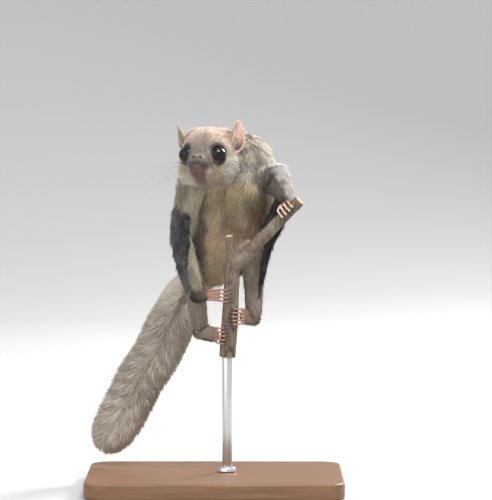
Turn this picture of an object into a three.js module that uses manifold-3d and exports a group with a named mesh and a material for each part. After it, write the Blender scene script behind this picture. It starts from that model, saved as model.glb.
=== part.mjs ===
// A southern flying squirrel at life size, clinging upright to a cut oak twig on a display stand.
// Millimetres, +Z up. The animal faces -Y, its left side is towards +X.
// The origin is the middle of the stand base's underside.
import * as THREE from 'three';
import { mergeVertices } from 'three/addons/utils/BufferGeometryUtils.js';
import Module from 'manifold-3d';

const wasm = await Module();
wasm.setup();

// Driving sizes
const touchGap = 0.3; // left between two solids that touch
const weldDistance = 1e-4;
const headPose = { centre: [-4.8, 6, 159], yaw: 11, pitch: 16 };
const eyeSize = { radius: 4.5, apart: 7, ahead: 6.4, above: 1.3, outward: 52, upward: 6 };
const earSize = {
  length: 17, width: 14, thick: 1, base: 1.12, narrowing: 0.74, rootRoll: 2.4, tipRoll: 0.9,
  behind: 5.5, above: 6, forward: 6,
};
const earPlace = { left: { apart: 12, lean: 7, outward: 44 }, right: { apart: 7.6, lean: 31, outward: 76 } };
const tailSize = { rootHalf: 8, tipHalf: 12.6, coreShare: 0.48, coreDeep: 2, lockStep: 3.2, lockLean: 13 };
const tailSide = [0.86, 0, 0.5];
const tailSeed = 11;
const fingerSize = { radius: 0.72, count: 4, spread: 1.9 };
const spreadFingers = { ...fingerSize, spread: 2.4 };
const toeSize = { radius: 0.8, count: 5, spread: 1.85 };
const clawSize = { length: 2.2, radius: 0.42, tip: 0.13 };
const shorterOutside = 22; // degrees of grip that the outer digits lack
const membraneThick = 1.1;
const bunchedThick = 2.6;
const lidThick = 0.7;
const twigSize = { stem: 4.2, fork: 3.7, leftProng: 2.9, rightProng: 2.3, cutCap: 0.6 };
const standSize = { length: 124, depth: 92, thick: 8, corner: 10, rod: 2.4, socket: 5 };

// Places of the joints and of the twig, in the stand's frame
const spine = {
  top: [11.3, 30, 155.5], shoulders: [10.6, 30, 147.5], chest: [7.5, 30.5, 137],
  waist: [3.5, 31, 126], hips: [-0.5, 30.5, 115], rump: [-3.5, 29, 106],
};
const joints = {
  rightShoulder: [-11.5, 22, 146], rightElbow: [-17, 17, 122], rightWrist: [-9.4, 8.4, 97],
  leftShoulder: [19, 27, 149], leftElbow: [29.2, 20.5, 151], leftWrist: [34.8, -1.4, 141],
  rightHip: [-8, 33, 107], rightKnee: [-11.5, 22.5, 106.5], rightAnkle: [-7.5, 13.2, 79.5],
  leftHip: [5, 33, 109], leftKnee: [18.6, 17, 114], leftAnkle: [19, 11.2, 86],
};
const twig = {
  foot: [6, 2.5, 64], lower: [7.3, 2.2, 82], fork: [8.5, 1.6, 107],
  rightMiddle: [8, 1.2, 115], rightTip: [6.8, 0.6, 123],
  leftMiddle: [22, -2.2, 121], leftTip: [41, -7.2, 140.5],
};
const tailLine = [
  [-4.5, 30, 102], [-12.2, 30.5, 95.6], [-17.4, 30.5, 87.3], [-21.5, 30, 79], [-27.8, 29, 65.9],
  [-35.6, 28, 53.2], [-44.9, 27, 35.6], [-52.2, 26, 22.6],
];

const vector = (place) => new THREE.Vector3(...place);
const between = (start, end, share) => vector(start).lerp(vector(end), share).toArray();
const radians = THREE.MathUtils.degToRad;

// Repeatable random numbers from 0 to 1
function seeded(seed) {
  let state = seed;
  return () => {
    state = (state * 16807) % 2147483647;
    return state / 2147483647;
  };
}

// One closed solid from a three.js geometry
function solidOf(geometry) {
  geometry.deleteAttribute('normal');
  geometry.deleteAttribute('uv');
  const welded = mergeVertices(geometry, weldDistance);
  const vertProperties = new Float32Array(welded.attributes.position.array);
  const triVerts = new Uint32Array(welded.index.array);
  return new wasm.Manifold(new wasm.Mesh({ numProp: 3, vertProperties, triVerts }));
}

// A round-ended body through stations of { at, wide, deep }; wide is measured along the side direction
function sweep(stations, { sides = 16, steps = 12, caps = 3, side = [1, 0, 0], grow = 0 } = {}) {
  const centres = new THREE.CatmullRomCurve3(stations.map((station) => vector(station.at)));
  const halves = new THREE.CatmullRomCurve3(
    stations.map(({ wide, deep = wide, cap = (wide + deep) / 2 }) => new THREE.Vector3(wide, deep, cap)),
    false,
    'catmullrom',
  );
  const geometry = new THREE.CapsuleGeometry(1, 2, caps, sides, steps);
  const position = geometry.attributes.position;
  for (let i = 0; i < position.count; i += 1) {
    const along = position.getY(i);
    const share = THREE.MathUtils.clamp((along + 1) / 2, 0, 1);
    const beyond = Math.sign(along) * Math.max(0, Math.abs(along) - 1);
    const tangent = centres.getTangent(share);
    const across = vector(side).addScaledVector(tangent, -vector(side).dot(tangent)).normalize();
    const through = new THREE.Vector3().crossVectors(across, tangent);
    const half = halves.getPoint(share).addScalar(grow);
    const point = centres.getPoint(share)
      .addScaledVector(tangent, beyond * half.z)
      .addScaledVector(across, position.getX(i) * half.x)
      .addScaledVector(through, position.getZ(i) * half.y);
    position.setXYZ(i, point.x, point.y, point.z);
  }
  return geometry;
}

function ball(centre, halves, { grow = 0, sides = 16, rings = 10, turn = new THREE.Matrix4() } = {}) {
  const geometry = new THREE.SphereGeometry(1, sides, rings);
  geometry.scale(halves[0] + grow, halves[1] + grow, halves[2] + grow);
  return geometry.applyMatrix4(turn).translate(...centre);
}

// The head's own frame: x to the animal's right, y forwards, z up
const headFrame = new THREE.Matrix4().makeTranslation(...headPose.centre)
  .multiply(new THREE.Matrix4().makeRotationZ(-radians(headPose.yaw)))
  .multiply(new THREE.Matrix4().makeRotationX(-radians(headPose.pitch)))
  .multiply(new THREE.Matrix4().makeRotationZ(Math.PI));
const flank = { left: -1, right: 1 };

const eyeCentre = (hand) => [hand * eyeSize.apart, eyeSize.ahead, eyeSize.above];
const eyeAxis = (hand) => new THREE.Vector3(
  hand * Math.sin(radians(eyeSize.outward)),
  Math.cos(radians(eyeSize.outward)),
  Math.sin(radians(eyeSize.upward)),
).normalize();

function eye(hand) {
  const halves = Array(3).fill(eyeSize.radius);
  return (grow) => [ball(eyeCentre(hand), halves, { grow, sides: 14, rings: 8 }).applyMatrix4(headFrame)];
}

// Skull, temples, snout, lips, lids and lower jaw in the head's own frame
function head(grow) {
  const skull = sweep([
    { at: [-0.6, -13, 2.6], wide: 12, deep: 12.8, cap: 5 },
    { at: [-0.6, -7, 3.6], wide: 13.6, deep: 14.4 },
    { at: [-0.4, -1, 3], wide: 13, deep: 14.2 },
    { at: [0, 5, 0.2], wide: 10.6, deep: 11.4 },
    { at: [0, 10, -2.1], wide: 6.8, deep: 7.2 },
    { at: [0, 13.8, -3.3], wide: 4.6, deep: 4.6 },
    { at: [0, 16.8, -4], wide: 3.2, deep: 3.2, cap: 2.2 },
  ], { sides: 22, steps: 12, caps: 3, grow });
  const lowerFace = sweep([
    { at: [0, -8, -2.8], wide: 12, deep: 8.2 },
    { at: [0, -1, -4], wide: 12, deep: 8.2 },
    { at: [0, 5.5, -6], wide: 8, deep: 6.2 },
    { at: [0, 10.6, -7.2], wide: 4.8, deep: 3.9 },
    { at: [0, 13.9, -7.2], wide: 2.8, deep: 2.1, cap: 1.7 },
  ], { sides: 20, steps: 9, caps: 2, grow });
  const sides = [-1, 1].flatMap((hand) => [
    ball([hand * 6 - 0.7, -5.5, 10.8], [7.5, 7.8, 8], { grow, sides: 12, rings: 8 }),
    ball([hand * 2.2, 14.8, -4.6], [3, 3.3, 1.9], { grow, sides: 12, rings: 7 }),
    lid(hand, grow),
  ]);
  const nosePad = ball([0, 18.2, -3.3], [2.1, 1.5, 1.6], { grow, sides: 10, rings: 7 });
  return [skull, lowerFace, ...sides, nosePad].map((piece) => piece.applyMatrix4(headFrame));
}

// A ring of skin round the open part of the eye
function lid(hand, grow) {
  const ring = new THREE.TorusGeometry(eyeSize.radius * 0.93, lidThick + grow, 5, 14);
  const turn = new THREE.Quaternion().setFromUnitVectors(new THREE.Vector3(0, 0, 1), eyeAxis(hand));
  const outer = vector(eyeCentre(hand)).addScaledVector(eyeAxis(hand), eyeSize.radius * 0.36);
  return ring.applyQuaternion(turn).translate(...outer.toArray());
}

// What is cut out of the head: the line of the mouth, its cleft up to the nose, and the nostrils
function headCuts() {
  const mouth = sweep([
    { at: [-5.4, 9.6, -6.4], wide: 0.3, deep: 0.6 },
    { at: [-3.8, 14.4, -6.1], wide: 0.32, deep: 0.8 },
    { at: [0, 17.7, -5.6], wide: 0.32, deep: 1 },
    { at: [3.8, 14.4, -6.1], wide: 0.32, deep: 0.8 },
    { at: [5.4, 9.6, -6.4], wide: 0.3, deep: 0.6 },
  ], { sides: 6, steps: 12, caps: 1, side: [0, 0, 1] });
  const cleft = sweep([
    { at: [0, 18.2, -6], wide: 0.28, deep: 0.8 },
    { at: [0, 19, -5], wide: 0.28, deep: 0.8 },
    { at: [0, 19.9, -4.1], wide: 0.28, deep: 0.7 },
  ], { sides: 6, steps: 3, caps: 1 });
  const nostrils = [-1, 1].map((hand) => sweep([
    { at: [hand * 0.75, 19.9, -3], wide: 0.4 },
    { at: [hand * 1.5, 19.3, -2.9], wide: 0.5 },
    { at: [hand * 2.2, 18.4, -3.5], wide: 0.35 },
  ], { sides: 6, steps: 3, caps: 1, side: [0, 0, 1] }));
  return [mouth, cleft, ...nostrils].map((piece) => piece.applyMatrix4(headFrame));
}

// A cupped leaf, rolled at its root and open towards the front and the side
function ear(side) {
  const hand = flank[side];
  return (grow) => {
    const shell = new THREE.SphereGeometry(1, 14, 9);
    const position = shell.attributes.position;
    for (let i = 0; i < position.count; i += 1) {
      const [x, y, z] = [position.getX(i), position.getY(i), position.getZ(i)];
      const up = (y + 1) / 2;
      const half = (earSize.width / 2) * (earSize.base - earSize.narrowing * up) + grow;
      const roll = THREE.MathUtils.lerp(earSize.rootRoll, earSize.tipRoll, up);
      const radius = half / roll + z * (earSize.thick / 2 + grow);
      position.setXYZ(
        i,
        radius * Math.sin(x * roll),
        (y + 1) * (earSize.length / 2 + grow) - grow,
        radius * Math.cos(x * roll) - half / roll,
      );
    }
    // Stand the leaf up, turn its cup to the front and the side, and set it on the head
    const { apart, lean, outward } = earPlace[side];
    shell.rotateX(Math.PI / 2).rotateZ(-hand * radians(outward));
    shell.rotateX(radians(earSize.forward)).rotateY(hand * radians(lean));
    return [shell.translate(hand * apart, -earSize.behind, earSize.above).applyMatrix4(headFrame)];
  };
}

function neck(grow) {
  return [sweep([
    { at: [-2.4, 18, 157.5], wide: 12.4, deep: 12.6, cap: 7 },
    { at: [4, 27, 155], wide: 14, deep: 13.6 },
  ], { sides: 18, steps: 5, caps: 2, grow, side: [1, 0, 0] })];
}

const trunkHalves = {
  top: { wide: 18, deep: 14.5, cap: 17.5 },
  shoulders: { wide: 20, deep: 16.5 },
  chest: { wide: 20.4, deep: 17.2 },
  waist: { wide: 19.4, deep: 16.8 },
  hips: { wide: 17.2, deep: 15.4 },
  rump: { wide: 12.5, deep: 12, cap: 8 },
};
function trunk(grow) {
  const stations = Object.keys(spine).map((name) => ({ at: spine[name], ...trunkHalves[name] }));
  return [sweep(stations, { sides: 24, steps: 11, caps: 4, grow })];
}

// Upper and lower length of one limb, thick at the body and thin at the wrist or ankle
function limbLength(start, end, startHalf, bellyHalf, endHalf) {
  return (grow) => [sweep([
    { at: start, wide: startHalf },
    { at: between(start, end, 0.4), wide: bellyHalf },
    { at: end, wide: endHalf },
  ], { sides: 12, steps: 5, caps: 3, grow, side: [0.3, 1, 0.2] })];
}

// Digits that follow the twig's round from one angle to another, each tapering into its claw
function grip({ at, axis, twigHalf, fromAngle, toAngle, palm, size }) {
  const along = vector(axis).normalize();
  const zero = new THREE.Vector3(1, 0, 0).addScaledVector(along, -along.x).normalize();
  const quarter = new THREE.Vector3().crossVectors(along, zero);
  const onRound = (angle, reach, offset) => vector(at)
    .addScaledVector(along, offset)
    .addScaledVector(zero, Math.cos(radians(angle)) * reach)
    .addScaledVector(quarter, Math.sin(radians(angle)) * reach)
    .toArray();
  const reach = twigHalf + size.radius + touchGap;
  const turn = Math.sign(toAngle - fromAngle);
  const clawAngle = THREE.MathUtils.radToDeg(clawSize.length / reach);
  return (grow) => Array.from({ length: size.count }, (_, digit) => {
    const place = digit - (size.count - 1) / 2;
    const last = toAngle - turn * (Math.abs(place) / size.count) * shorterOutside;
    const flesh = [0, 0.5, 1].map((share) => ({
      at: onRound(
        THREE.MathUtils.lerp(fromAngle, last, share),
        reach + (1 - share) * 0.8,
        place * size.spread * (0.75 + 0.25 * share),
      ),
      wide: size.radius,
    }));
    const clawSpot = (share, rise) => (
      onRound(last + turn * clawAngle * share, reach + rise, place * size.spread)
    );
    return sweep([
      { at: between(palm, flesh[0].at, 0.35), wide: size.radius * 1.2 },
      ...flesh,
      { at: clawSpot(0.3, 0.25), wide: clawSize.radius },
      { at: clawSpot(1, -0.25), wide: clawSize.tip },
    ], { sides: 5, steps: 7, caps: 1, grow, side: axis });
  });
}

// One length of the tail: a flat core, and flat locks that lean along its lie, out to the tips
function tail(line, first) {
  const middle = new THREE.CatmullRomCurve3(line.map(vector));
  const wholeShare = (share) => (first + share * (line.length - 1)) / (tailLine.length - 1);
  const halfAt = (share) => {
    const rise = Math.min(1, wholeShare(share) * 2.2);
    return THREE.MathUtils.lerp(tailSize.rootHalf, tailSize.tipHalf, rise);
  };
  const core = line.map((at, i) => {
    const half = halfAt(i / (line.length - 1)) * tailSize.coreShare;
    return { at, wide: half, deep: Math.max(tailSize.coreDeep, half * 0.55), cap: 4 };
  });
  const count = Math.round(middle.getLength() / tailSize.lockStep);
  const random = seeded(tailSeed + first);
  const varied = (size, share) => size * (1 + (random() - 0.5) * share);
  const locks = Array.from({ length: 2 * count }, (_, i) => {
    const hand = i % 2 ? 1 : -1;
    const place = Math.floor(i / 2);
    const share = (place + 0.5 + (random() - 0.5) * 0.4) / count;
    const along = middle.getTangent(share);
    const across = vector(tailSide).addScaledVector(along, -vector(tailSide).dot(along)).normalize();
    const normal = new THREE.Vector3().crossVectors(across, along);
    // Towards the tail's end the locks turn down and close its round outline
    const closing = THREE.MathUtils.smoothstep(wholeShare(share), 0.82, 1);
    const reach = varied(halfAt(share), 0.1) * (1 - 0.62 * closing);
    const growing = Math.min(1, 0.6 + wholeShare(share) * 2);
    const lean = varied(tailSize.lockLean, 0.25) * (1 - 0.25 * closing) * growing;
    const layer = ((place % 3) - 1) * 0.75;
    const spot = (out, ahead) => middle.getPoint(share)
      .addScaledVector(across, hand * out * reach).addScaledVector(along, ahead * lean)
      .addScaledVector(normal, layer).toArray();
    const lie = along.clone().multiplyScalar(reach).addScaledVector(across, -hand * lean);
    return { side: lie.toArray(), stations: [
      { at: spot(0.1, 0), wide: 1.5, deep: 0.55 },
      { at: spot(0.62, 0.45), wide: 2.3, deep: 0.55 },
      { at: spot(0.96, 0.96), wide: 0.5, deep: 0.3, cap: 0.8 },
    ] };
  });
  return (grow) => [
    sweep(core, { sides: 14, steps: 8, caps: 2, grow, side: tailSide }),
    ...locks.map(({ stations, side }) => sweep(stations, { sides: 4, steps: 3, caps: 1, grow, side })),
  ];
}

// A thin sheet of skin between an attached line and a free edge
function membrane({ attached, free }, thick) {
  const stations = attached.map((inner, i) => ({
    at: between(inner, free[i], 0.5),
    wide: vector(inner).distanceTo(vector(free[i])) / 2,
    deep: thick / 2,
    cap: 1.5,
  }));
  const side = vector(free[1]).sub(vector(attached[1])).toArray();
  return (grow) => [sweep(stations, { sides: 8, steps: 11, caps: 2, grow, side })];
}

// The stem and the two prongs, each cut off square
function perch(grow) {
  const lengths = [
    [['foot', twigSize.stem], ['lower', twigSize.stem], ['fork', twigSize.fork]],
    [['fork', twigSize.fork], ['rightMiddle', twigSize.rightProng * 1.15], ['rightTip', twigSize.rightProng]],
    [['fork', twigSize.fork], ['leftMiddle', twigSize.leftProng * 1.1], ['leftTip', twigSize.leftProng]],
  ];
  return lengths.map((stations) => sweep(
    stations.map(([place, wide]) => ({ at: twig[place], wide, cap: twigSize.cutCap })),
    { sides: 11, steps: 6, caps: 1, grow, side: [0, 1, 0] },
  ));
}

function standRod(grow) {
  const top = twig.foot[2] + standSize.socket;
  const length = top - standSize.thick - touchGap;
  const rod = new THREE.CylinderGeometry(standSize.rod + grow, standSize.rod + grow, length + 2 * grow, 20);
  return [rod.rotateX(Math.PI / 2).translate(twig.foot[0], twig.foot[1], top - length / 2)];
}

function standBase() {
  const round = standSize.corner;
  const [x, y] = [standSize.length / 2 - round, standSize.depth / 2 - round];
  const quarter = Math.PI / 2;
  const outline = new THREE.Shape();
  outline.moveTo(-x, -y - round);
  [[x, -y, -1], [x, y, 0], [-x, y, 1], [-x, -y, 2]].forEach(([cornerX, cornerY, turn]) => {
    outline.absarc(cornerX, cornerY, round, turn * quarter, (turn + 1) * quarter);
  });
  const bevel = 0.8;
  const plate = new THREE.ExtrudeGeometry(outline, {
    depth: standSize.thick - 2 * bevel, bevelEnabled: true, bevelThickness: bevel, bevelSize: bevel,
    bevelOffset: -bevel, bevelSegments: 1, curveSegments: 4,
  });
  return [plate.translate(0, 0, bevel)];
}

// The sole from the heel, or the palm from the wrist, with its digits round the twig
function paw({ start, palm, startHalf, palmHalf, grasp }) {
  const digits = grip({ ...grasp, palm });
  return (grow) => [
    sweep([
      { at: start, wide: startHalf },
      { at: between(start, palm, 0.5), wide: (startHalf + palmHalf) / 2, deep: (startHalf + palmHalf) / 2.6 },
      { at: palm, wide: palmHalf, deep: palmHalf * 0.6 },
    ], { sides: 12, steps: 5, caps: 2, grow, side: grasp.axis }),
    ...digits(grow),
  ];
}

const onStem = { axis: [0, 0, 1] };
const onProng = { axis: vector(twig.leftTip).sub(vector(twig.leftMiddle)).toArray() };
const paws = {
  rightHand: {
    start: [-8.8, 8.2, 93.6], palm: [-3.8, 5.6, 94], startHalf: 3.4, palmHalf: 3.2,
    grasp: { ...onStem, at: [8, 1.95, 94.2], twigHalf: 4, fromAngle: 185, toAngle: 266, size: fingerSize },
  },
  leftHand: {
    start: joints.leftWrist, palm: [33.6, -2.4, 138.6], startHalf: 3.2, palmHalf: 3,
    grasp: {
      ...onProng, at: [35.8, -5.8, 135.1], twigHalf: 3, fromAngle: 145, toAngle: 272, size: spreadFingers,
    },
  },
  rightFoot: {
    start: [-7, 12.8, 75.4], palm: [0, 5.6, 74.6], startHalf: 3.8, palmHalf: 4.2,
    grasp: { ...onStem, at: [6.8, 2.35, 74.6], twigHalf: 4.25, fromAngle: 178, toAngle: 258, size: toeSize },
  },
  leftFoot: {
    start: [18.6, 11.6, 82.4], palm: [14, 4.8, 83.4], startHalf: 3.8, palmHalf: 4.2,
    grasp: { ...onStem, at: [7.4, 2.2, 84], twigHalf: 4.15, fromAngle: -5, toAngle: -86, size: toeSize },
  },
};

const membranes = {
  left: {
    attached: [[32, 17, 147.5], [27.5, 21, 137], [22, 21, 126], [20.5, 14, 112], [20, 11.5, 92]],
    free: [[36, -0.5, 139.6], [33.4, 2, 128], [29.5, 4.5, 117], [26, 6.5, 104], [21.5, 9.5, 90]],
  },
  right: {
    attached: [
      [-19.4, 18, 138], [-21.6, 14, 131], [-22, 11.6, 123],
      [-20.4, 9.6, 114], [-17.6, 8.8, 105], [-14, 8, 97.5],
    ],
    free: [
      [-14.6, 15.6, 138], [-12.8, 11, 131], [-12, 8.6, 123],
      [-13, 7.6, 114], [-13.8, 6.6, 105], [-12.4, 6.4, 98.5],
    ],
  },
};

// A box that holds everything above or below one height
function slab(low, high) {
  return (grow) => new THREE.BoxGeometry(400, 400, high - low + 2 * grow).translate(0, 0, (low + high) / 2);
}
const trunkCut = 116;
const tailCut = 3; // place along tailLine where its upper length ends

const coat = { back: '#8a7f74', belly: '#c9b999', skin: '#c79a8c', dark: '#3f3b38', wood: '#6d5b48' };
// Earlier nodes keep their whole shape, later ones are cut clear of them
const nodes = [
  ['stand_base', standBase, coat.wood, 0.5],
  ['stand_rod', standRod, '#b9bcc0', 0.35],
  ['perch', perch, '#5d5248', 0.85],
  ['eye_left', eye(flank.left), '#0a0908', 0.05],
  ['eye_right', eye(flank.right), '#0a0908', 0.05],
  ['head', head, coat.back, 0.9, null, headCuts],
  ['ear_left', ear('left'), coat.skin, 0.7],
  ['ear_right', ear('right'), coat.skin, 0.7],
  ['torso', trunk, coat.back, 0.9, slab(trunkCut, 400)],
  ['rump', trunk, coat.back, 0.9, slab(0, trunkCut)],
  ['neck', neck, coat.back, 0.9],
];
const limbHalves = {
  upper_arm: { left: [9.6, 8.6, 7.2], right: [7.6, 6.7, 5.4] },
  fore_arm: { left: [7.2, 6.4, 3.7], right: [5.4, 4.9, 3.6] },
  thigh: { left: [9, 9.2, 6.6], right: [9, 9.2, 6.6] },
  shin: { left: [6.2, 5.4, 4.2], right: [6.2, 5.4, 4.2] },
};
const limbEnds = {
  upper_arm: ['Shoulder', 'Elbow'],
  fore_arm: ['Elbow', 'Wrist'],
  thigh: ['Hip', 'Knee'],
  shin: ['Knee', 'Ankle'],
};
for (const hand of ['right', 'left']) {
  for (const [limb, [start, end]] of Object.entries(limbEnds)) {
    const shape = limbLength(joints[hand + start], joints[hand + end], ...limbHalves[limb][hand]);
    nodes.push([`${limb}_${hand}`, shape, coat.back, 0.9]);
  }
  nodes.push([`hand_${hand}`, paw(paws[`${hand}Hand`]), coat.skin, 0.7]);
  nodes.push([`foot_${hand}`, paw(paws[`${hand}Foot`]), coat.skin, 0.7]);
}
nodes.push(['tail_upper', tail(tailLine.slice(0, tailCut + 1), 0), coat.back, 0.9]);
nodes.push(['tail_lower', tail(tailLine.slice(tailCut), tailCut), coat.back, 0.9]);
nodes.push(['patagium_right', membrane(membranes.right, bunchedThick), coat.dark, 0.9]);
nodes.push(['patagium_left', membrane(membranes.left, membraneThick), coat.dark, 0.9]);

// Cut each node clear of the earlier ones and keep its largest closed surface
const joined = (pieces) => pieces.map(solidOf).reduce((sum, piece) => sum.add(piece));
function solid(shape, part, cuts, grow) {
  let whole = joined(shape(grow));
  if (part) whole = whole.intersect(solidOf(part(grow)));
  return cuts && grow === 0 ? whole.subtract(joined(cuts())) : whole;
}
const squirrel = new THREE.Group();
const finished = [];
for (const [name, shape, color, roughness, part, cuts] of nodes) {
  const clear = finished.reduce((rest, earlier) => rest.subtract(earlier), solid(shape, part, cuts, 0));
  const [largest] = clear.decompose().sort((a, b) => b.volume() - a.volume());
  const { vertProperties, triVerts } = largest.getMesh();
  const geometry = new THREE.BufferGeometry();
  geometry.setAttribute('position', new THREE.BufferAttribute(vertProperties, 3));
  geometry.setIndex(new THREE.BufferAttribute(triVerts, 1));
  const mesh = new THREE.Mesh(geometry, new THREE.MeshStandardMaterial({ color, roughness }));
  mesh.name = name;
  squirrel.add(mesh);
  finished.push(solid(shape, part, cuts, touchGap));
}

export default squirrel;
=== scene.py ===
from math import acos, ceil, copysign, cos, degrees, hypot, pi, radians, sin, sqrt, tau

import bmesh
import bpy
import numpy as np
from mathutils import Matrix, Vector, noise
from mathutils.bvhtree import BVHTree
from mathutils.kdtree import KDTree


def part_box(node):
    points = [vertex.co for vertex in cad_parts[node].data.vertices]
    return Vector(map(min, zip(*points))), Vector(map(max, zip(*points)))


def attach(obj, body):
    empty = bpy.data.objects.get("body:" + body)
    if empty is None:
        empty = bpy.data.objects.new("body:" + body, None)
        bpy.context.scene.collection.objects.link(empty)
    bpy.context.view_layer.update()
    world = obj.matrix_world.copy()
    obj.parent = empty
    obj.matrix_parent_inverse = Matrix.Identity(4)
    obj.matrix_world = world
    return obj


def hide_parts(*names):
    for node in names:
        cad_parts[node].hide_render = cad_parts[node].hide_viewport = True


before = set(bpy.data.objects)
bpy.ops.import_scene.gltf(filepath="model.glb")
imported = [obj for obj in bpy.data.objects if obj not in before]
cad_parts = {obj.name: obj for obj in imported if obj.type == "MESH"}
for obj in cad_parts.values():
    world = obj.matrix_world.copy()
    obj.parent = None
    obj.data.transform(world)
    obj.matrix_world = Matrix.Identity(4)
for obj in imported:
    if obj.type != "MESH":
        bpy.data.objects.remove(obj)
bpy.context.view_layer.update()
mm = 0.001
draws = np.random.default_rng(7)


# numbers and colours

def screenColour(red, green, blue):
    # a colour as a screen shows it, 0 to 255, in the linear light that Blender mixes
    shares = np.array([red, green, blue]) / 255
    return np.where(shares <= 0.04045, shares / 12.92, ((shares + 0.055) / 1.055) ** 2.4)


def allOver(count, *colour):
    return np.tile(screenColour(*colour), (count, 1))


def painted(colours, *steps):
    # lays each colour over the last, as far as its mask of 0 to 1 says
    for mask, target in steps:
        mask = np.clip(mask, 0, 1)[:, None]
        colours = colours * (1 - mask) + screenColour(*target) * mask
    return colours


def ramp(values, low, high):
    # 0 below low, 1 above high, smooth between
    share = np.clip((values - low) / (high - low), 0, 1)
    return share * share * (3 - 2 * share)


def fall(values, low, high):
    return 1 - ramp(values, low, high)


def bell(values, width):
    return np.exp(-(values / width) ** 2)


def unit(vectors):
    length = np.linalg.norm(vectors, axis=-1, keepdims=True)
    return vectors / np.maximum(length, 1e-9)


def waviness(places, scale, seed=0):
    # smooth noise between -1 and 1 at each place, scale in millimetres
    shift = Vector((seed * 17.3, seed * 5.1, seed * 9.7))
    return np.array([noise.noise(Vector(p) / (scale * mm) + shift) for p in places])


def alongLine(points, share):
    # a smooth curve through the points, read at a share of its way
    points = np.asarray(points, float)
    last = len(points) - 1
    place = min(max(share, 0), 1) * last
    i = min(int(place), last - 1)
    t = place - i
    a, b = points[i], points[i + 1]
    before = points[i - 1] if i > 0 else 2 * a - b
    after = points[i + 2] if i + 2 <= last else 2 * b - a
    return 0.5 * (2 * a + (b - before) * t + (2 * before - 5 * a + 4 * b - after) * t * t
                  + (3 * a - before - 3 * b + after) * t ** 3)


def distanceToLine(places, line, steps=40):
    best = np.full(len(places), 1e9)
    for i in range(steps + 1):
        best = np.minimum(best, np.linalg.norm(places - alongLine(line, i / steps), axis=1))
    return best


# meshes and pieces

def newObject(name, data):
    made = bpy.data.objects.new(name, data)
    bpy.context.scene.collection.objects.link(made)
    return made


def meshOf(bm, name):
    mesh = bpy.data.meshes.new(name)
    bm.to_mesh(mesh)
    bm.free()
    return mesh


def pieceOf(mesh, name, look, slot=None, *nodes, smooth=True):
    # a piece takes the given look, rides on the one body when it has a slot, and may stand for CAD nodes,
    # which it hides
    piece = newObject(name, mesh)
    mesh.materials.append(look)
    mesh.polygons.foreach_set("use_smooth", [smooth] * len(mesh.polygons))
    if slot:
        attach(piece, "root")
    if nodes:
        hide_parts(*nodes)
    return piece


def pieceFrom(bm, name, *given, **more):
    bmesh.ops.recalc_face_normals(bm, faces=bm.faces)
    return pieceOf(meshOf(bm, name), name, *given, **more)


def readRows(rows, key, width=3, kind=np.float32):
    # one row of numbers for each member of a Blender collection
    flat = np.empty(len(rows) * width, kind)
    rows.foreach_get(key, flat)
    return flat.reshape(-1, width)


def points(mesh):
    return readRows(mesh.vertices, "co").astype(float)


def normals(mesh):
    return readRows(mesh.vertex_normals, "vector").astype(float)


def edgesOf(mesh):
    return readRows(mesh.edges, "vertices", 2, np.int32)


def setPoints(mesh, co):
    mesh.vertices.foreach_set("co", np.asarray(co, np.float32).ravel())
    mesh.update()


def addColours(mesh, name, colours):
    layer = mesh.color_attributes.new(name, "FLOAT_COLOR", "POINT")
    rows = np.ones((len(colours), 4), np.float32)
    rows[:, :3] = np.clip(colours, 0, 1)
    layer.data.foreach_set("color", rows.ravel())


def spreadOut(values, pairs, times, share=0.5):
    # averages each vertex's value with its neighbours', some times over; share may differ by vertex
    values = np.array(values, float)
    flat = values.reshape(len(values), -1)
    ends, others = (np.concatenate([pairs[:, k], pairs[:, 1 - k]]) for k in (0, 1))
    count = np.maximum(np.bincount(ends, minlength=len(flat)), 1)[:, None]
    share = np.broadcast_to(np.asarray(share, float).reshape(-1, 1), (len(flat), 1))
    for _ in range(times):
        total = np.stack([np.bincount(ends, weights=flat[others, k], minlength=len(flat))
                          for k in range(flat.shape[1])], axis=1)
        flat = flat + share * (total / count - flat)
    return flat.reshape(values.shape)


def sweep(bm, stations, sides=16, rings=20, side=(1, 0, 0), capShare=0.12):
    # a round-ended body along stations of (place, half width, half depth), from one sphere
    places, halves = [s[0] for s in stations], [(s[1], s[-1]) for s in stations]
    side = Vector(side)
    for vertex in bmesh.ops.create_uvsphere(bm, u_segments=sides, v_segments=rings, radius=1)["verts"]:
        x, y, z = vertex.co
        way = acos(min(max(z, -1), 1)) / pi
        around = hypot(x, y) or 1
        share = min(max((way - capShare) / (1 - 2 * capShare), 0), 1)
        outside = max(capShare - way, way - 1 + capShare, 0) / capShare * pi / 2
        ahead = Vector(alongLine(places, min(share + 0.01, 1)) - alongLine(places, max(share - 0.01, 0)))
        ahead.normalize()
        across = (side - ahead * side.dot(ahead)).normalized()
        through = across.cross(ahead)
        wide, deep = alongLine(halves, share)
        beyond = sin(outside) * (wide + deep) / 2 * (1 if way > 0.5 else -1)
        shrink = cos(outside) if abs(z) < 1 - 1e-9 else 0
        vertex.co = (Vector(alongLine(places, share)) + ahead * beyond
                     + across * (x / around * wide * shrink) + through * (y / around * deep * shrink))


def modified(mesh, kind, **settings):
    # the mesh as one modifier leaves it
    holder = newObject(mesh.name, mesh)
    modifier = holder.modifiers.new("made", kind)
    for key, value in settings.items():
        setattr(modifier, key, value)
    bpy.context.view_layer.update()
    result = bpy.data.meshes.new_from_object(holder.evaluated_get(bpy.context.evaluated_depsgraph_get()))
    bpy.data.objects.remove(holder)
    bpy.data.meshes.remove(mesh)
    return result


def joined(bm, name, size):
    # joins overlapping shells into one even skin
    return modified(meshOf(bm, name), "REMESH", mode="VOXEL", voxel_size=size * mm)


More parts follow.
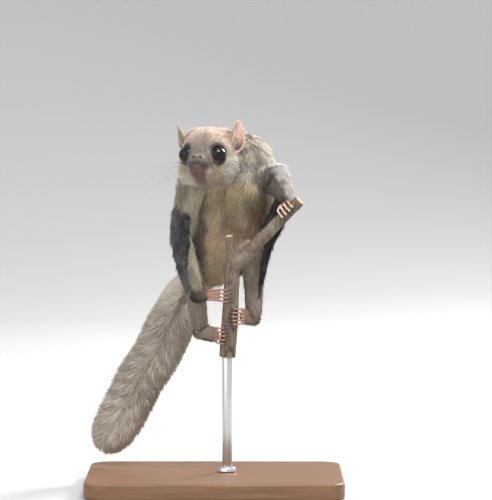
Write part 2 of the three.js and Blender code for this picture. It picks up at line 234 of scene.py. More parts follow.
def mergedCopy(names, grow=0.0):
    # copies of CAD nodes, each welded and grown a little so that they overlap
    bm = bmesh.new()
    for name in names:
        shell = bmesh.new()
        shell.from_mesh(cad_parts[name].data)
        bmesh.ops.remove_doubles(shell, verts=shell.verts, dist=1e-6)
        shell.normal_update()
        for vertex in shell.verts:
            vertex.co += vertex.normal * grow
        passing = meshOf(shell, "passing")
        bm.from_mesh(passing)
        bpy.data.meshes.remove(passing)
    return bm


# materials

def mottleGroup():
    # soft light and dark patches, used on skin, horn, bark and wood
    group = bpy.data.node_groups.new("mottle", "ShaderNodeTree")
    for name, way, kind in (("Colour", "INPUT", "Color"), ("Stretch", "INPUT", "Vector"),
                            ("Size", "INPUT", "Float"), ("Strength", "INPUT", "Float"),
                            ("Colour", "OUTPUT", "Color"), ("Mask", "OUTPUT", "Float")):
        group.interface.new_socket(name, in_out=way, socket_type="NodeSocket" + kind)
    given, result, place, mapping, cloud, level, shade, mix = (
        group.nodes.new(kind) for kind in
        ("NodeGroupInput", "NodeGroupOutput", "ShaderNodeTexCoord", "ShaderNodeMapping",
         "ShaderNodeTexNoise", "ShaderNodeMapRange", "ShaderNodeMath", "ShaderNodeMix"))
    shade.operation, mix.data_type, mix.blend_type = "MULTIPLY_ADD", "RGBA", "MULTIPLY"
    for node, key, value in ((cloud, "Detail", 5), (level, "From Min", 0.3), (level, "From Max", 0.7),
                             (level, "To Min", -1), (shade, 2, 1), (mix, "Factor", 1)):
        node.inputs[key].default_value = value
    for start, leaving, end, entering in (
            (place, "Object", mapping, "Vector"), (given, "Stretch", mapping, "Scale"),
            (mapping, "Vector", cloud, "Vector"), (given, "Size", cloud, "Scale"),
            (cloud, "Fac", level, "Value"), (level, "Result", shade, 0), (given, "Strength", shade, 1),
            (given, "Colour", mix, "A"), (shade, 0, mix, "B"), (mix, "Result", result, "Colour"),
            (cloud, "Fac", result, "Mask")):
        group.links.new(start.outputs[leaving], end.inputs[entering])
    return group


mottle = mottleGroup()


def newLook(name, source, roughness, specular=0.5, metallic=0.0, size=0, strength=0.1, bump=0.0,
            stretch=(1, 1, 1), sheen=None, under=None):
    # source is a colour or a colour attribute's name; patches come with a size, relief with a bump;
    # sheen is its weight and roughness, and under the weight, radius and scale of light below the surface
    look = bpy.data.materials.new(name)
    look.use_nodes = True
    nodes, link = look.node_tree.nodes, look.node_tree.links.new
    shader = nodes["Principled BSDF"].inputs
    values = {"Roughness": roughness, "Specular IOR Level": specular, "Metallic": metallic}
    values.update(zip(("Sheen Weight", "Sheen Roughness"), sheen or ()))
    values.update(zip(("Subsurface Weight", "Subsurface Radius", "Subsurface Scale"), under or ()))
    for key, value in values.items():
        shader[key].default_value = value
    target = shader["Base Color"]
    if size:
        patches = nodes.new("ShaderNodeGroup")
        patches.node_tree = mottle
        for key, value in (("Size", size), ("Strength", strength), ("Stretch", stretch)):
            patches.inputs[key].default_value = value
        link(patches.outputs["Colour"], target)
        target = patches.inputs["Colour"]
    if bump:
        relief = nodes.new("ShaderNodeBump")
        relief.inputs["Distance"].default_value = bump * mm
        link(patches.outputs["Mask"], relief.inputs["Height"])
        link(relief.outputs["Normal"], shader["Normal"])
    if isinstance(source, str):
        attribute = nodes.new("ShaderNodeAttribute")
        attribute.attribute_name = source
        link(attribute.outputs["Color"], target)
    else:
        target.default_value = (*source, 1)
    return look


coatLook = newLook("coat", "hairColour", 0.75, 0.2, sheen=(0.25, 0.4))
skinLook = newLook("skin", "skinColour", 0.6, 0.3, size=1500, strength=0.12, bump=0.12,
                   under=(0.12, (1.0, 0.4, 0.25), 0.6 * mm))
print("materials ready")


# the head's own frame, in millimetres: x to the animal's right, y forwards, z up

headPose = {"centre": (-4.8, 6, 159), "yaw": 11, "pitch": 16}
headFrame = (Matrix.Translation(Vector(headPose["centre"]) * mm)
             @ Matrix.Rotation(-radians(headPose["yaw"]), 4, "Z")
             @ Matrix.Rotation(-radians(headPose["pitch"]), 4, "X")
             @ Matrix.Rotation(pi, 4, "Z") @ Matrix.Scale(mm, 4))
headTurn = np.array(headFrame.to_3x3()) / mm


def fromHead(places, matrix=headFrame):
    matrix = np.array(matrix)
    return np.asarray(places, float) @ matrix[:3, :3].T + matrix[:3, 3]


def inHead(places):
    return fromHead(places, headFrame.inverted())


eyeShape = {"radius": 4.5, "apart": 7, "ahead": 6.4, "above": 1.3, "outward": 52, "upward": 6}


def eyeCentre(hand):
    return np.array([hand * eyeShape["apart"], eyeShape["ahead"], eyeShape["above"]])


# hands and feet: digits laid round the twig

# for each paw: places in millimetres, half the twig's width, from and to which angle the digits reach
pawParts = ("wrist", "palm", "at", "axis", "twigHalf", "turn", "count", "spread", "radius")
paws = {name: dict(zip(pawParts, row)) for name, row in {
    "hand_right": ((-8.8, 8.2, 93.6), (-3.8, 5.6, 94), (8, 1.95, 94.2), (0, 0, 1), 4, (185, 266), 4, 2, 0.58),
    "hand_left": ((34.8, -1.4, 141), (33.6, -2.4, 138.6), (35.8, -5.8, 135.1), (19, -5, 19.5), 3, (145, 272),
                  4, 2.4, 0.58),
    "foot_right": ((-7, 12.8, 75.4), (0, 5.6, 74.6), (6.8, 2.35, 74.6), (0, 0, 1), 4.25, (178, 258), 5, 1.95,
                   0.62),
    "foot_left": ((18.6, 11.6, 82.4), (14, 4.8, 83.4), (7.4, 2.2, 84), (0, 0, 1), 4.15, (-5, -86), 5, 1.95,
                  0.62)}.items()}
clawShape = {"length": 2.3, "radius": 0.4, "shorterOutside": 22}


def digitLine(paw, digit):
    # stations of one digit from the palm to its pad, and of the claw beyond it, in metres
    along = Vector(paw["axis"]).normalized()
    zero = (Vector((1, 0, 0)) - along * along.x).normalized()
    quarter = along.cross(zero)
    reach = paw["twigHalf"] + paw["radius"] + 0.3
    first, last = paw["turn"]
    turn = copysign(1, last - first)
    place = digit - (paw["count"] - 1) / 2
    last -= turn * abs(place) / paw["count"] * clawShape["shorterOutside"]
    wrist, palm, middle = Vector(paw["wrist"]), Vector(paw["palm"]), Vector(paw["at"])

    def spot(angle, out, offset):
        angle = radians(angle)
        return (middle + along * offset + zero * cos(angle) * out + quarter * sin(angle) * out) * mm

    # the bones of the palm stand out a little on the side away from the twig
    away = palm - middle
    away = (away - along * away.dot(along)).normalized()
    dorsal = away - (palm - wrist).normalized() * away.dot((palm - wrist).normalized())
    flesh = [((wrist.lerp(palm, share) + along * place * paw["spread"] * fan + dorsal * 0.9) * mm,
              paw["radius"] * half * mm) for share, fan, half in ((0.55, 0.45, 1.2), (1, 0.7, 1.15))]
    for share, rise, half in ((0, 0.8, 1.1), (0.22, 0.65, 0.82), (0.45, 0.35, 1.06), (0.7, 0.05, 0.78),
                              (0.93, 0, 1.1)):
        offset = place * paw["spread"] * (0.88 + 0.12 * share)
        flesh.append((spot(first + (last - first) * share, reach + rise, offset), half * paw["radius"] * mm))
    step = degrees(clawShape["length"] / reach)
    claw = [(spot(last + turn * step * share, reach + rise, place * paw["spread"]),
             clawShape["radius"] * size * mm)
            for share, rise, size in ((-0.35, 0, 0.9), (0.1, 0.3, 1), (0.6, 0, 0.6), (1, -0.55, 0.16))]
    return flesh, claw


# the skin's shape

fleshNodes = [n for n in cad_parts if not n.startswith(("stand_", "perch", "eye_", "tail_", "ear_"))]
regions = fleshNodes + ["tail_upper", "tail_lower"]
tailLine = [(-3.5, 30, 104), (-12.2, 30.5, 95.6), (-17.4, 30.5, 87.3), (-21.5, 30, 79), (-27.8, 29, 65.9),
            (-35.6, 28, 53.2), (-44.9, 27, 35.6), (-52.2, 26, 22.6)]
tailSide = (0.86, 0, 0.5)
skinSize = {"voxel": 0.5, "pawVoxel": 0.3, "grow": 0.2, "pawGrow": -0.6, "keep": 0.54, "buried": 0.15,
            "hairless": 0.25, "tailWide": (6, 5, 4.4, 4.2, 4.2, 4.2, 4, 3),
            "tailDeep": (5, 3.4, 2.6, 2.3, 2.2, 2.1, 2, 1.6)}


def onNodes(node, *starts):
    # which points are nearest to nodes whose names start so
    return np.array([name.startswith(starts) for name in regions])[node]


def nearestNodes(places):
    corners, faces, owner = [], [], []
    for number, name in enumerate(regions):
        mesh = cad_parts[name].data
        start = len(corners)
        corners += [tuple(v.co) for v in mesh.vertices]
        faces += [tuple(start + i for i in p.vertices) for p in mesh.polygons]
        owner += [number] * len(mesh.polygons)
    tree = BVHTree.FromPolygons(corners, faces)
    return np.array([owner[tree.find_nearest(Vector(p))[2]] for p in places])


def bodySkin():
    bm = mergedCopy([n for n in fleshNodes if n not in paws], skinSize["grow"] * mm)
    core = [(Vector(p) * mm, w * mm, d * mm)
            for p, w, d in zip(tailLine, skinSize["tailWide"], skinSize["tailDeep"])]
    sweep(bm, core, sides=24, rings=60, side=tailSide, capShare=0.04)
    mesh = joined(bm, "bodyShape", skinSize["voxel"])
    # smooth the facets away, least on the face, most on the crown
    co, pairs = points(mesh), edgesOf(mesh)
    co = spreadOut(co, pairs, 14, share=0.5 - 0.38 * ramp(inHead(co)[:, 1], 3, 10))
    setPoints(mesh, spreadOut(co, pairs, 45, share=0.5 * ramp(inHead(co)[:, 2], 7, 12)))
    return modified(mesh, "DECIMATE", ratio=skinSize["keep"])


def pawSkin():
    bm = mergedCopy(paws, skinSize["pawGrow"] * mm)
    for paw in paws.values():
        # a round joint closes the gap to the limb
        wrist, palm = Vector(paw["wrist"]) * mm, Vector(paw["palm"]) * mm
        ahead = (palm - wrist) * 0.3
        joint = [(wrist - ahead * 0.5, 2.9 * mm), (wrist + ahead * 0.2, 3.1 * mm), (wrist + ahead, 2.5 * mm)]
        sweep(bm, joint, sides=20, side=paw["axis"])
        for digit in range(paw["count"]):
            sweep(bm, digitLine(paw, digit)[0], sides=12, rings=30, side=paw["axis"], capShare=0.07)
    mesh = joined(bm, "pawShape", skinSize["pawVoxel"])
    setPoints(mesh, spreadOut(points(mesh), edgesOf(mesh), 2))
    return mesh


def joinSkins(meshes):
    bm = bmesh.new()
    for mesh in meshes:
        bm.from_mesh(mesh)
    # the muzzle and the lids get a finer mesh for their folds
    inverse = headFrame.inverted()
    sockets = [Vector(eyeCentre(hand)) for hand in (1, -1)]
    fine = []
    for edge in bm.edges:
        place = inverse @ edge.verts[0].co
        muzzle = place.y > 9.5 and place.z < 1
        lids = min((place - socket).length for socket in sockets) < 7.6 and place.y > 0
        if (muzzle or lids) and edge.calc_length() > 0.35 * mm:
            fine.append(edge)
    bmesh.ops.subdivide_edges(bm, edges=fine, cuts=1, use_grid_fill=True)
    bmesh.ops.triangulate(bm, faces=[f for f in bm.faces if len(f.verts) > 4])
    return meshOf(bm, "skin")


# the coat and its markings

# for each node: coat depth, hair length, hair width (mm), lift (degrees), hairs for each square mm, colour
coatPlan = {
    "head": (0.85, 2.5, 0.42, 17, 7, (188, 168, 150)),
    "neck": (1.5, 4.8, 0.48, 17, 5.2, (190, 178, 162)),
    "torso": (1.7, 5.4, 0.5, 17, 5, (184, 171, 155)),
    "rump": (1.7, 5.2, 0.5, 17, 5, (184, 171, 155)),
    "upper_arm": (1.3, 4.2, 0.46, 17, 5.4, (174, 162, 150)),
    "fore_arm": (0.9, 3.2, 0.42, 15, 6, (168, 155, 138)),
    "thigh": (1.4, 4.6, 0.48, 17, 5, (170, 158, 142)),
    "shin": (0.9, 3.2, 0.42, 15, 6, (172, 158, 140)),
    "hand": (0.1, 0.75, 0.17, 10, 12, (158, 138, 124)),
    "foot": (0.1, 0.85, 0.18, 10, 12, (162, 144, 128)),
    "patagium": (0.3, 3.4, 0.44, 13, 6, (62, 60, 60)),
    "tail": (0.2, 3.0, 0.5, 10, 3, (156, 142, 126)),
}
# the way the hair lies on each node, from one place towards another
hairFlow = {
    "neck": ((-4.8, 6, 162), (13, 30, 150)), "torso": ((13, 30, 156), (-1, 30, 112)),
    "rump": ((3, 30, 120), (-6, 30, 98)), "tail_upper": tailLine[:3], "tail_lower": tailLine[3:],
    "upper_arm_right": ((-11.5, 22, 146), (-17, 17, 122)), "hand_right": ((-9, 8.3, 94), (8, 0, 94)),
    "fore_arm_right": ((-17, 17, 122), (-9.4, 8.4, 97)), "thigh_right": ((0, 36, 116), (-10, 24, 104)),
    "shin_right": ((-11.5, 22.5, 106.5), (-7.5, 13.2, 79.5)), "foot_right": ((-7, 12.8, 75.4), (7, 0, 74.6)),
    "upper_arm_left": ((19, 27, 149), (33, 18, 146)), "fore_arm_left": ((29, 20.5, 152), (34.8, -1.4, 138)),
    "hand_left": ((34.8, -1.4, 141), (33, -8, 131)), "thigh_left": ((5, 33, 115), (18.6, 17, 108)),
    "shin_left": ((18.6, 17, 114), (19, 11.2, 86)), "foot_left": ((18.6, 11.6, 82.4), (7, 0, 84)),
    "patagium_right": ((-18, 14, 140), (-15, 9, 98)), "patagium_left": ((30, 10, 142), (23, 8, 92)),
}
# marks seen from the front: points (x, z) and half width in millimetres, colour, strength
marks = {
    "jaw": ([(-16.3, 157.5), (-15.6, 153), (-13.6, 149.6), (-9.5, 146.9), (-6.3, 145.6), (-1, 145.8)],
            0.85, (255, 240, 200), 0.85),
    # lip: a painted highlight by the corner of the mouth
    "lip": ([(-2.6, 157), (-3.4, 154.2)], 0.9, (226, 210, 196), 0.6),
    # painted shade in a fold of the shoulder, and a painted highlight along its edge
    "shoulderDark": ([(17.6, 166), (20.4, 161), (19.6, 155), (22, 150)], 0.9, (92, 78, 68), 0.65),
    "shoulderPale": ([(20, 167), (23.4, 161), (23.6, 156)], 0.9, (240, 230, 212), 0.6),
    "ruff": ([(9, 150), (13.1, 151.2), (16.2, 148.3), (21.2, 146.4)], 0.75, (250, 232, 196), 0.75),
    "armPatch": ([(32.3, 149.5), (33, 143)], 1.9, (92, 80, 78), 0.7),
}
# areas of the face, in the order that they are laid on: colour, strength
faceColours = {
    "back": ((186, 174, 157), 0.9), "crown": ((212, 180, 156), 0.9), "bridge": ((114, 97, 87), 0.9),
    "muzzle": ((132, 120, 108), 0.9), "cheek": ((202, 180, 144), 0.95), "throat": ((180, 163, 136), 0.9),
    # mouth: painted shade along the line of the mouth
    "chin": ((132, 94, 82), 0.88), "jaw": ((250, 243, 226), 0.7), "mouth": ((74, 64, 60), 0.7),
    "tear": ((58, 49, 45), 0.8),
}
mouthLine = [(-6, 8.8, -5.6), (-4.9, 11.5, -6.3), (-3.2, 15, -6.1), (0, 17.7, -5.4), (3.2, 15, -6.1),
             (4.9, 11.5, -6.3), (6, 8.8, -5.6)]
lipCleft = [(0, 18.6, -6), (0, 19.1, -5.1), (0, 19.6, -4.2)]


def planOf(name):
    return next(plan for key, plan in coatPlan.items() if name.startswith(key))


def headMasks(h):
    # named areas of the face, each from 0 to 1, and the distance to the eye, in the head's frame
    x, y, z = np.abs(h[:, 0]), h[:, 1], h[:, 2]
    corner = eyeCentre(1) + [-1.8, 3.4, -3.6]
    tear = distanceToLine(np.stack([x, y, z], axis=1), [corner, corner + [-0.9, 0.2, -2.6]], 8)
    return {
        "eye": np.minimum(*(np.linalg.norm(h - eyeCentre(hand), axis=1) for hand in (1, -1))),
        "tear": fall(tear, 0.7, 1.7),
        "bridge": fall(x, 1.5, 5) * ramp(y, 6, 11) * ramp(z, -4.5, -1.5) * (1 - 0.75 * ramp(z, 2, 6)),
        "muzzle": ramp(y, 8, 13) * ramp(z, -8, -5.5) * fall(x, 4.5, 7),
        "mouth": ramp(y, 10, 13) * fall(np.abs(z + 5.4), 0.4, 1.3) * fall(x, 3.6, 5.6),
        "chin": (fall(np.abs(h[:, 0] - 0.7) - 0.46 * (z + 7), 3.4, 4.8) * ramp(y, -1, 4)
                 * fall(z, -6.9, -5.9)),
        "cheek": ramp(x, 5, 9) * fall(z, -4, 1.5) * fall(y, 9, 13),
        "jaw": ramp(x - 0.3 * (z + 12), 3, 6) * fall(z, -9.6, -7.4) * fall(y, 7, 12),
        "throat": fall(y, -2, 4) * fall(z, -9, -5),
        "back": fall(y, -9, -3),
        "crown": ramp(z, 4, 10) * fall(y, 6, 12) * ramp(y, -9, -3),
    }


def pawReach(co, node):
    # 0 at the wrist or heel, 1 where the digits begin, more along them; 0 elsewhere
    reach = np.zeros(len(co))
    for name, paw in paws.items():
        wrist, palm = np.array(paw["wrist"]) * mm, np.array(paw["palm"]) * mm
        ahead = palm - wrist
        reach = np.where(onNodes(node, name), (co - wrist) @ ahead / (ahead @ ahead), reach)
    return reach


def bodyColours(co, out, node):
    # grey-brown above, cream below, blackish edge of the gliding skin
    colours = np.array([screenColour(*planOf(name)[5]) for name in regions])[node]
    y, z = co[:, 1], co[:, 2]
    outX, outY, outZ = out.T
    trunk = onNodes(node, "torso", "rump", "neck")
    below = ramp(-outY - 0.6 * np.maximum(outZ, 0) + 0.22 * waviness(co * [1, 1, 0.5], 3, 23), 0.0, 0.75)
    below = below * ramp(-z, -0.153, -0.144)
    belly, back = trunk * below, trunk * (1 - below)
    low = ramp(-z, -0.138, -0.121)
    nape = ramp(z, 0.146, 0.152) * ramp(-outY, -0.1, 0.5)
    collar = bell(z - 0.1485 + 0.0012 * waviness(co, 5, 11), 0.0021) * ramp(-outY, 0.1, 0.5)
    # soft streaks, boldest round the shoulders, calmer over the back
    wave = waviness(co * [1, 1, 0.45], 2.8, 2)
    streak = ramp(wave, 0, 0.4)
    bold = (1 - 0.4 * ramp(y, 0.028, 0.038)) * (0.45 + 0.55 * ramp(z, 0.125, 0.14))
    # where the crest of the back faces up and to the right it is painted pale: a painted rim highlight
    paintedRimLight = trunk * ramp(outX + 0.75 * outZ, 0.5, 0.95) * ramp(z, 0.142, 0.152) * ramp(-y, -0.042, -0.034)
    patch, small = waviness(co, 10, 21), waviness(co * [1, 1, 0.6], 2.6, 22)
    dark = ramp(-patch - 0.3 * small, 0, 0.22) * (0.75 - 0.5 * low)
    colours = painted(
        colours, (belly, (172, 155, 124)), (belly * low * 0.9, (238, 202, 170)),
        (trunk * nape * 0.85, (214, 207, 198)),
        # a cream line where the grey neck meets the chest
        (trunk * collar, (248, 214, 160)),
        (back * (0.15 + 0.5 * streak) * bold, (118, 104, 90)),
        (back * ramp(-wave, 0.05, 0.3) * 0.75 * bold, (238, 225, 205)),
        # painted rim highlight along the crest of the back
        (paintedRimLight * (0.5 + 0.5 * ramp(-wave, -0.1, 0.2)), (246, 234, 214)),
        # lighter and darker patches on the chest
        (belly * ramp(patch + 0.3 * small, 0, 0.22) * 0.8, (206, 190, 156)), (belly * dark, (124, 104, 76)))
    limb = onNodes(node, "upper_arm", "fore_arm", "thigh", "shin")
    rightArm, leftArm = onNodes(node, "upper_arm_right"), onNodes(node, "upper_arm_left", "fore_arm_left")
    inner = rightArm * ramp(outX + 0.3 * small, -0.5, 0.2)
    # the black fur runs down the outer side of the right arm to the wrist, with a pale fringe inside
    rightHand, rightForeArm = onNodes(node, "hand_right"), onNodes(node, "fore_arm_right")
    outer = ramp(-0.9 * outX - 0.35 * outZ + 0.15 * small, 0.05, 0.5) * ramp(-z, -0.122, -0.11)
    reach = pawReach(co, node)
    digits = onNodes(node, "hand", "foot") * ramp(reach, 0.7, 1.3)
    # the gliding skin: uneven black, with greyish patches that are painted highlights on its folds, and a
    # paler free edge
    flank, rightFlank = onNodes(node, "patagium"), onNodes(node, "patagium_right")
    edge = np.where(rightFlank, ramp(-outX, 0.35, 0.85), ramp(outX, 0.75, 0.98))
    colours = painted(
        colours, (limb * streak * 0.5, (122, 112, 102)),
        (inner * 0.85, (224, 213, 186)), (rightArm * (1 - inner) * 0.2, (190, 178, 160)),
        # painted shade on the side of the left arm that faces the body
        (leftArm * ramp(-outX + 0.5 * small, -0.45, 0.25) * (0.6 + 0.4 * streak), (72, 66, 64)),
        # painted highlight on the left arm's top and outer side, where it faces the light
        (leftArm * ramp(1.2 * outZ + outX + 0.3 * small, 0.45, 1.0) * 0.9, (230, 225, 218)),
        (rightHand * fall(reach, 0.3, 1.1) * 0.8, (104, 91, 81)),
        ((rightForeArm | rightHand) * outer * fall(reach, 0.8, 1.3) * 0.9, (62, 60, 61)),
        (rightForeArm * ramp(outX, 0.2, 0.8) * 0.85, (226, 214, 188)),
        # the left hand's digits are painted paler, as if sunlit: painted light
        (digits * 0.8, (168, 130, 114)), (digits * onNodes(node, "hand_left"), (236, 190, 160)),
        # greyish patches: painted highlights on the folds of the gliding skin
        (flank * ramp(small + 0.4 * patch, 0.02, 0.3) * 0.75, (112, 112, 113)),
        (flank * ramp(-small, 0.02, 0.3) * 0.8, (38, 38, 41)), (flank * edge * 0.6, (136, 130, 126)),
        (rightFlank * ramp(z + 0.003 * small, 0.131, 0.139) * 0.85, (128, 118, 108)))
    return colours, trunk, leftArm


def coatColours(co, out, node):
    colours, trunk, leftArm = bodyColours(co, out, node)
    head = onNodes(node, "head")
    h = inHead(co)
    x, y, z = h.T
    m = headMasks(h)
    colours = painted(colours, *((head * m[key] * strength, colour)
                                 for key, (colour, strength) in faceColours.items()))
    # the fringe of pale hair along the lower jaw, and behind the left cheek
    jawEdge = ramp(-out[:, 2], 0.25, 0.6) * ramp(np.abs(x) - 0.3 * (z + 12), 1.5, 3.5)
    leftJaw = ramp(-x, 2.5, 4.5) * fall(np.abs(z + 9), 2, 5) * fall(y, 8, 12)
    ruff = ramp(-x, 6.5, 10) * fall(np.abs(z + 3), 3.5, 7.5)
    grain = waviness(co, 1.3, 24) + 0.7 * waviness(co, 0.8, 25)
    top = head * m["crown"] + head * 0.5 * ramp(z, -2, 4)
    # the corner below the jaw is in the neck's colour, and the pale edge of the jaw runs above it
    front = ramp(-out[:, 1], -0.2, 0.3)
    jawX, jawZ = np.array(marks["jaw"][0]).T * mm
    corner = ramp(np.interp(co[:, 0], jawX, jawZ) - co[:, 2], 0.0004, 0.0014) * fall(co[:, 2], 0.151, 0.1525)
    corner = corner * (head | trunk) * (co[:, 0] < -0.004)
    places = {"jaw": head | trunk, "lip": head, "armPatch": leftArm}
    drawn = [(places.get(name, trunk) * front * bell(distanceToLine(co[:, [0, 2]] / mm, line, 12), width)
              * strength, colour) for name, (line, width, colour, strength) in marks.items()]
    rim = m["eye"] - 0.09 * (z - eyeShape["above"]) - 0.14 * (eyeShape["apart"] - np.abs(x))
    colours = painted(
        # the crown is painted lighter on the animal's right side: painted light, as if it falls on that side
        colours, (head * m["crown"] * ramp(x, -2, 4) * 0.5, (240, 208, 182)),
        (head * jawEdge * fall(y, 9, 13) * 0.5, (250, 243, 224)), (head * leftJaw * 0.75, (188, 162, 124)),
        (head * ruff * 0.85, (228, 221, 208)), (top * ramp(grain, 0, 0.4) * 0.45, (228, 208, 190)),
        (top * ramp(-grain, 0, 0.4) * 0.5, (130, 112, 100)), (front * corner * 0.9, (118, 108, 98)),
        *drawn, (head * fall(rim, 5.1, 6.3) * 0.92, (42, 35, 32)))
    return np.clip(colours, 0, 1)


# skin: joined, set inside the coat, then folded and coloured

def hairLie(co, node):
    lie = unit(inHead(co) - np.array([0, 26, -3])) @ headTurn.T
    for name, line in hairFlow.items():
        lie[onNodes(node, name)] = unit(np.subtract(line[-1], line[0]).astype(float))
    return lie


def alongSurface(lie, out):
    return unit(lie - out * np.sum(lie * out, axis=1, keepdims=True))


def chartPlaces(co, node):
    # an unwrap of the skin's own shape: each region goes round its own length, in its own cell
    cells = ceil(sqrt(len(regions)))
    places = np.zeros((len(co), 2))
    for number in np.unique(node):
        mine = node == number
        own = co[mine] - co[mine].mean(axis=0)
        _, axes = np.linalg.eigh(own.T @ own)
        length, around = own @ axes[:, 2], np.arctan2(own @ axes[:, 1], own @ axes[:, 0])
        share = np.stack([around / (2 * pi) + 0.5,
                          (length - length.min()) / max(np.ptp(length), 1e-9)], axis=1)
        places[mine] = (np.array([number % cells, number // cells]) + 0.04 + share * 0.9) / cells
    return places


def buriedIn(co, mesh):
    # whether each place lies well inside a closed mesh
    tree = BVHTree.FromPolygons([v.co for v in mesh.vertices], [tuple(p.vertices) for p in mesh.polygons])
    found = [tree.find_nearest(Vector(p)) for p in co]
    return np.array([(Vector(p) - near).dot(face) < -skinSize["buried"] * mm
                     for p, (near, face, _, _) in zip(co, found)])


def buildSkin():
    body, pawMesh = bodySkin(), pawSkin()
    # no hair where the limbs and the paws run into each other
    bodyCo, pawCo = points(body), points(pawMesh)
    inside = np.concatenate([bodyCo[buriedIn(bodyCo, pawMesh)], pawCo[buriedIn(pawCo, body)]])
    hidden = KDTree(len(inside))
    for number, place in enumerate(inside):
        hidden.insert(place, number)
    hidden.balance()
    mesh = joinSkins([body, pawMesh])
    co, pairs = points(mesh), edgesOf(mesh)
    buried = np.array([hidden.find(place)[2] < skinSize["hairless"] * mm for place in co])
    node = nearestNodes(co)
    plan = spreadOut(np.array([planOf(name)[:5] for name in regions])[node], pairs, 12)
    out = normals(mesh)
    h = inHead(co)
    isHead = spreadOut(onNodes(node, "head"), pairs, 4)
    m = headMasks(h)
    # the coat is shortest at the nose, lips and eyes
    near = ramp(np.minimum(m["eye"] - 5, (19 - h[:, 1]) * 0.8), 0, 9)
    for column, share in ((0, 0.35 + 0.65 * near), (2, 0.62 + 0.38 * near),
                          (1, 0.42 + 0.62 * near + 0.35 * m["cheek"] + 0.55 * m["jaw"])):
        plan[:, column] *= 1 - isHead * (1 - share)
    # fluffy behind the cheeks, where the head meets the neck; long on the wrists and heels
    ruff = isHead * ramp(np.abs(h[:, 0]), 7.5, 10.5) * fall(h[:, 1], -1, 4) * fall(h[:, 2], 1, 6)
    paw = onNodes(node, "hand", "foot")
    furred = paw * fall(pawReach(co, node), 0.5, 1.25)
    for column, more in ((1, 0.8 * ruff), (3, 0.9 * ruff), (1, 2 * furred), (2, 1.2 * furred),
                         (3, 0.6 * furred)):
        plan[:, column] *= 1 + more
    co = co - spreadOut(out, pairs, 3) * plan[:, :1] * mm
    co = spreadOut(co, pairs, 3, share=0.4 * (1 - ramp(h[:, 1], 6, 12) * isHead) * (plan[:, 0] > 0.4))
    # line of the mouth, cleft of the lip and the fold under each eye
    h = inHead(co)
    toMouth = distanceToLine(h, mouthLine)
    depth = (bell(toMouth, 0.42) * 0.6 + bell(distanceToLine(h, lipCleft), 0.32) * 0.5
             - bell(toMouth - 1, 0.5) * 0.16 + bell(m["eye"] - 5.7, 0.45) * 0.3)
    co = co - out * (depth * isHead)[:, None] * mm
    setPoints(mesh, co)
    out = normals(mesh)
    colours = spreadOut(coatColours(co, out, node), pairs, 3)
    # bare skin shows on lips, digits and soles; under the coat the skin is a shade darker
    bare = np.where(paw[:, None], screenColour(160, 120, 106), colours * 0.6)
    addColours(mesh, "skinColour", painted(
        # the bare skin of the left hand is painted paler, as if sunlit: painted light
        bare, (onNodes(node, "hand_left"), (220, 186, 168)), (furred, (112, 98, 88)),
        # a dark line along the mouth: painted shade in its groove
        (isHead * bell(toMouth, 0.5), (46, 34, 32))))
    return {"mesh": mesh, "co": co, "out": out, "node": node, "plan": plan, "colours": colours, "h": h,
            "lie": spreadOut(hairLie(co, node), pairs, 25), "chart": chartPlaces(co, node),
            "isHead": isHead, "buried": buried, "toMouth": toMouth}


skin = buildSkin()
pieceOf(skin["mesh"], "skin", skinLook, "skin", *regions)
print("skin", len(skin["co"]), "points")


# hair as solid tufts

tuft = {"pieceLimit": 190000, "seat": 0.003, "taper": 0.55, "ridge": 0.75, "rootDepth": 0.12}


def growTufts(name, root, out, lie, length, width, lift, rootColour, tipColour, seat, bend=0.7, rings=2,
              softness=0.2):
    # each tuft is a three-sided blade that tapers to one point; long runs are parted into several pieces
    rows = [root, out, lie, unit(np.cross(lie, out)), length[:, None], width[:, None],
            np.radians(lift)[:, None], np.clip(rootColour, 0, 1), np.clip(tipColour, 0, 1), seat]
    # the corners of every ring and the tip: how far along, how far aside, how far up
    share = np.append(np.repeat(np.arange(rings) / rings, 3), 1)[:, None]
    sideways = np.append(np.tile([-1, 1, 0], rings), 0)[:, None]
    up = np.append(np.tile([0, 0, tuft["ridge"]], rings), 0)[:, None]
    corners, turns, each = len(share), ((1, 0), (2, 1), (0, 2)), []
    for k in range(0, corners - 4, 3):
        for a, b in turns:
            each += [(k + a, k + b, k + b + 3), (k + a, k + b + 3, k + a + 3)]
    each += [(corners - 4 + a, corners - 4 + b, corners - 1) for a, b in turns] + [(0, 1, 2)]
    each = np.array(each, np.int32)
    limit = tuft["pieceLimit"] // len(each)
    starts = range(0, len(root), limit)
    for number, start in enumerate(starts):
        r, o, l, s, long, wide, angle, low, high, place = (row[start:start + limit, None] for row in rows)
        half = wide * (1 - tuft["taper"] * share) / 2
        co = r + long * (share * np.cos(angle) * l + (share - bend * share ** 2 / 2) * np.sin(angle) * o)
        co = co + s * half * sideways + o * half * up
        facing = o * softness + (s * sideways * 0.6 + o * (1.5 * up - 0.6)) * (1 - softness)
        facing[:, -1:] = o * (0.2 + softness) + l * 0.6
        seats = place + np.hstack([sideways * (1 - share) / 2, share]) * tuft["seat"]
        faces = (each[None] + (np.arange(len(r)) * corners)[:, None, None]).ravel()
        mesh = bpy.data.meshes.new(f"{name}_{number + 1}")
        mesh.vertices.add(len(r) * corners)
        mesh.vertices.foreach_set("co", co.astype(np.float32).ravel())
        mesh.loops.add(len(faces))
        mesh.loops.foreach_set("vertex_index", faces)
        mesh.polygons.add(len(faces) // 3)
        mesh.polygons.foreach_set("loop_start", np.arange(0, len(faces), 3, dtype=np.int32))
        mesh.update(calc_edges=True)
        addColours(mesh, "hairColour", (low * (1 - share) + high * share).reshape(-1, 3))
        layer = mesh.uv_layers.new(name="OFBake")
        layer.data.foreach_set("uv", seats.reshape(-1, 2)[faces].astype(np.float32).ravel())
        pieceOf(mesh, mesh.name, coatLook, "fur_back")
        mesh.normals_split_custom_set_from_vertices(unit(facing.reshape(-1, 3)).astype(np.float32))
    print(name, len(root), "tufts in", len(starts), "pieces")


